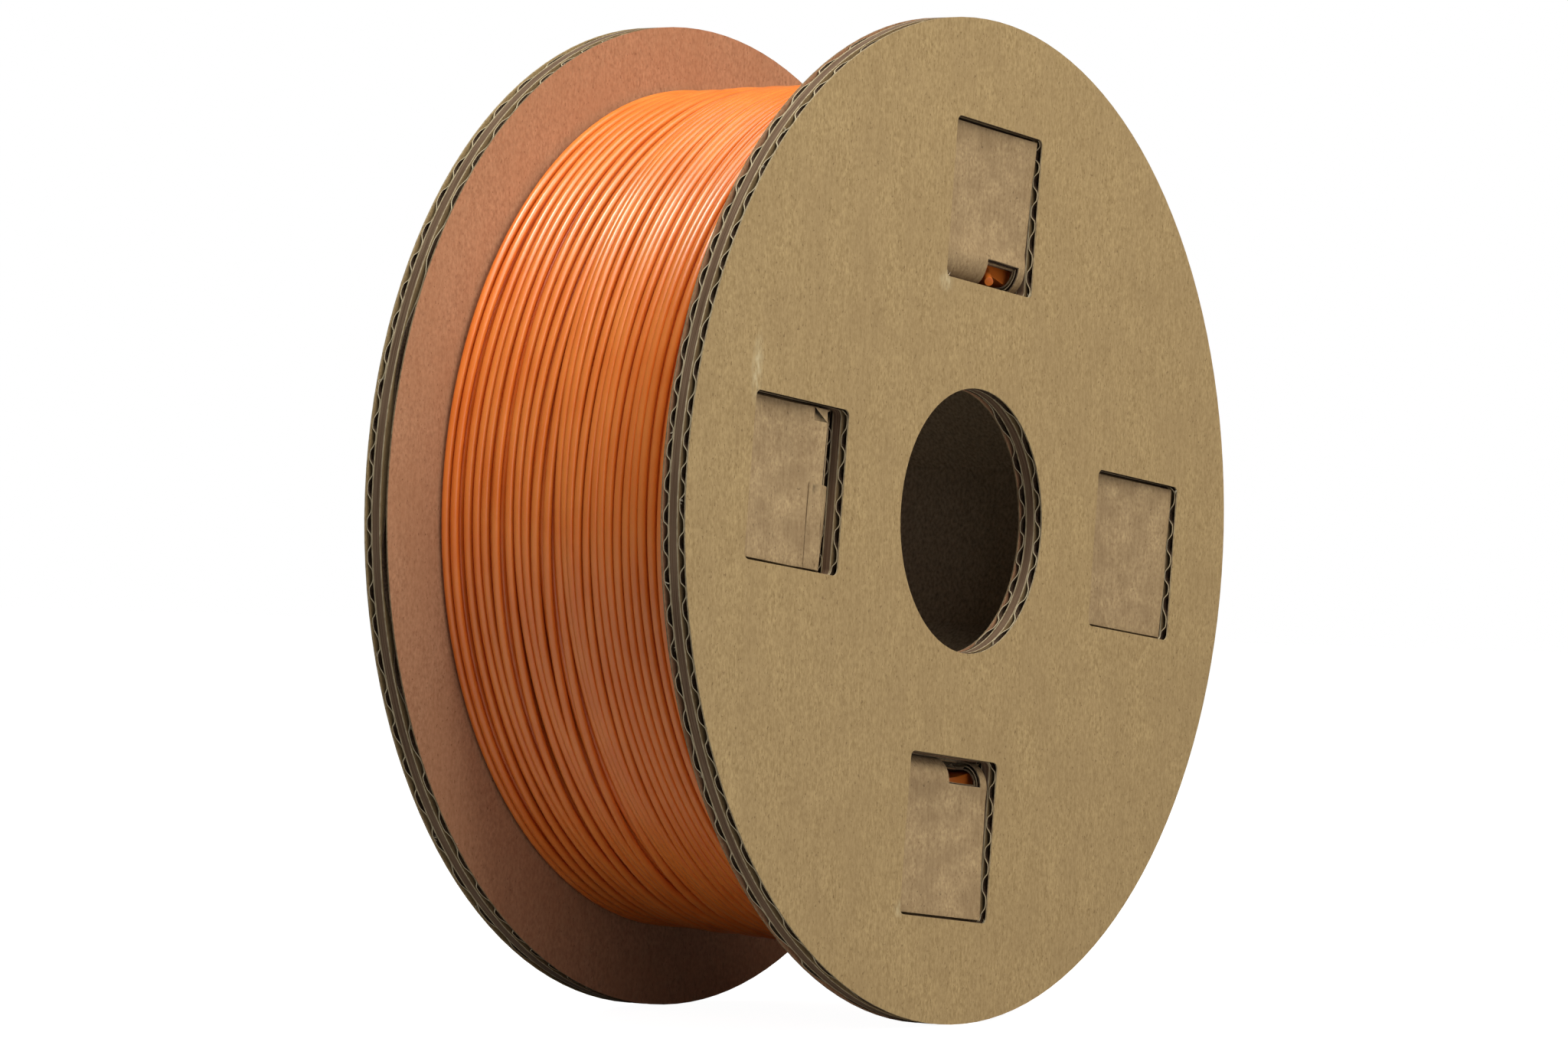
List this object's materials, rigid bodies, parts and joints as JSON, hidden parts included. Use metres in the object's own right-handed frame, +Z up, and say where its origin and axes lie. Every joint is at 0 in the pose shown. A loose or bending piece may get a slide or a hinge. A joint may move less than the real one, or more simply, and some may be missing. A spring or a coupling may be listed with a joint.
{
  "type": "filament spool",
  "caption": "Cardboard filament spool: two laminated disc flanges with windows and a bore on a folded octagonal hub, wound with orange filament.",
  "frame": {"origin": "centre of the spool, on the bore axis halfway between the two flanges", "axes": "+Y along the bore axis from the front flange to the rear one, +Z up with the spool standing on its rims"},
  "size_m": [0.2, 0.0752, 0.2],
  "materials": {
    "kraft_face": "matte tan kraft liner with fine fibres",
    "kraft_inner_face": "matte reddish-brown kraft liner",
    "kraft_liner": "matte pale kraft paper, cut edge",
    "fluting": "matte corrugated paper",
    "chipboard": "matte solid grey-brown board",
    "hub_kraft": "matte greyish kraft liner, mottled",
    "filament": "satin orange extruded thermoplastic"
  },
  "bodies": {
    "root": {"front_outer_face_paper": "kraft_face", "front_outer_flutes": "fluting", "front_outer_back_paper": "kraft_liner", "front_core_board": "chipboard", "front_inner_back_paper": "kraft_liner", "front_inner_flutes": "fluting", "front_inner_face_paper": "kraft_inner_face", "rear_outer_face_paper": "kraft_face", "rear_outer_flutes": "fluting", "rear_outer_back_paper": "kraft_liner", "rear_core_board": "chipboard", "rear_inner_back_paper": "kraft_liner", "rear_inner_flutes": "fluting", "rear_inner_face_paper": "kraft_inner_face", "hub_inside_paper": "hub_kraft", "hub_flutes": "fluting", "hub_outside_paper": "hub_kraft", "hub_seam_tape": "kraft_liner", "filament_winding": "filament", "filament_start_end": "filament"}
  },
  "joints": []
}
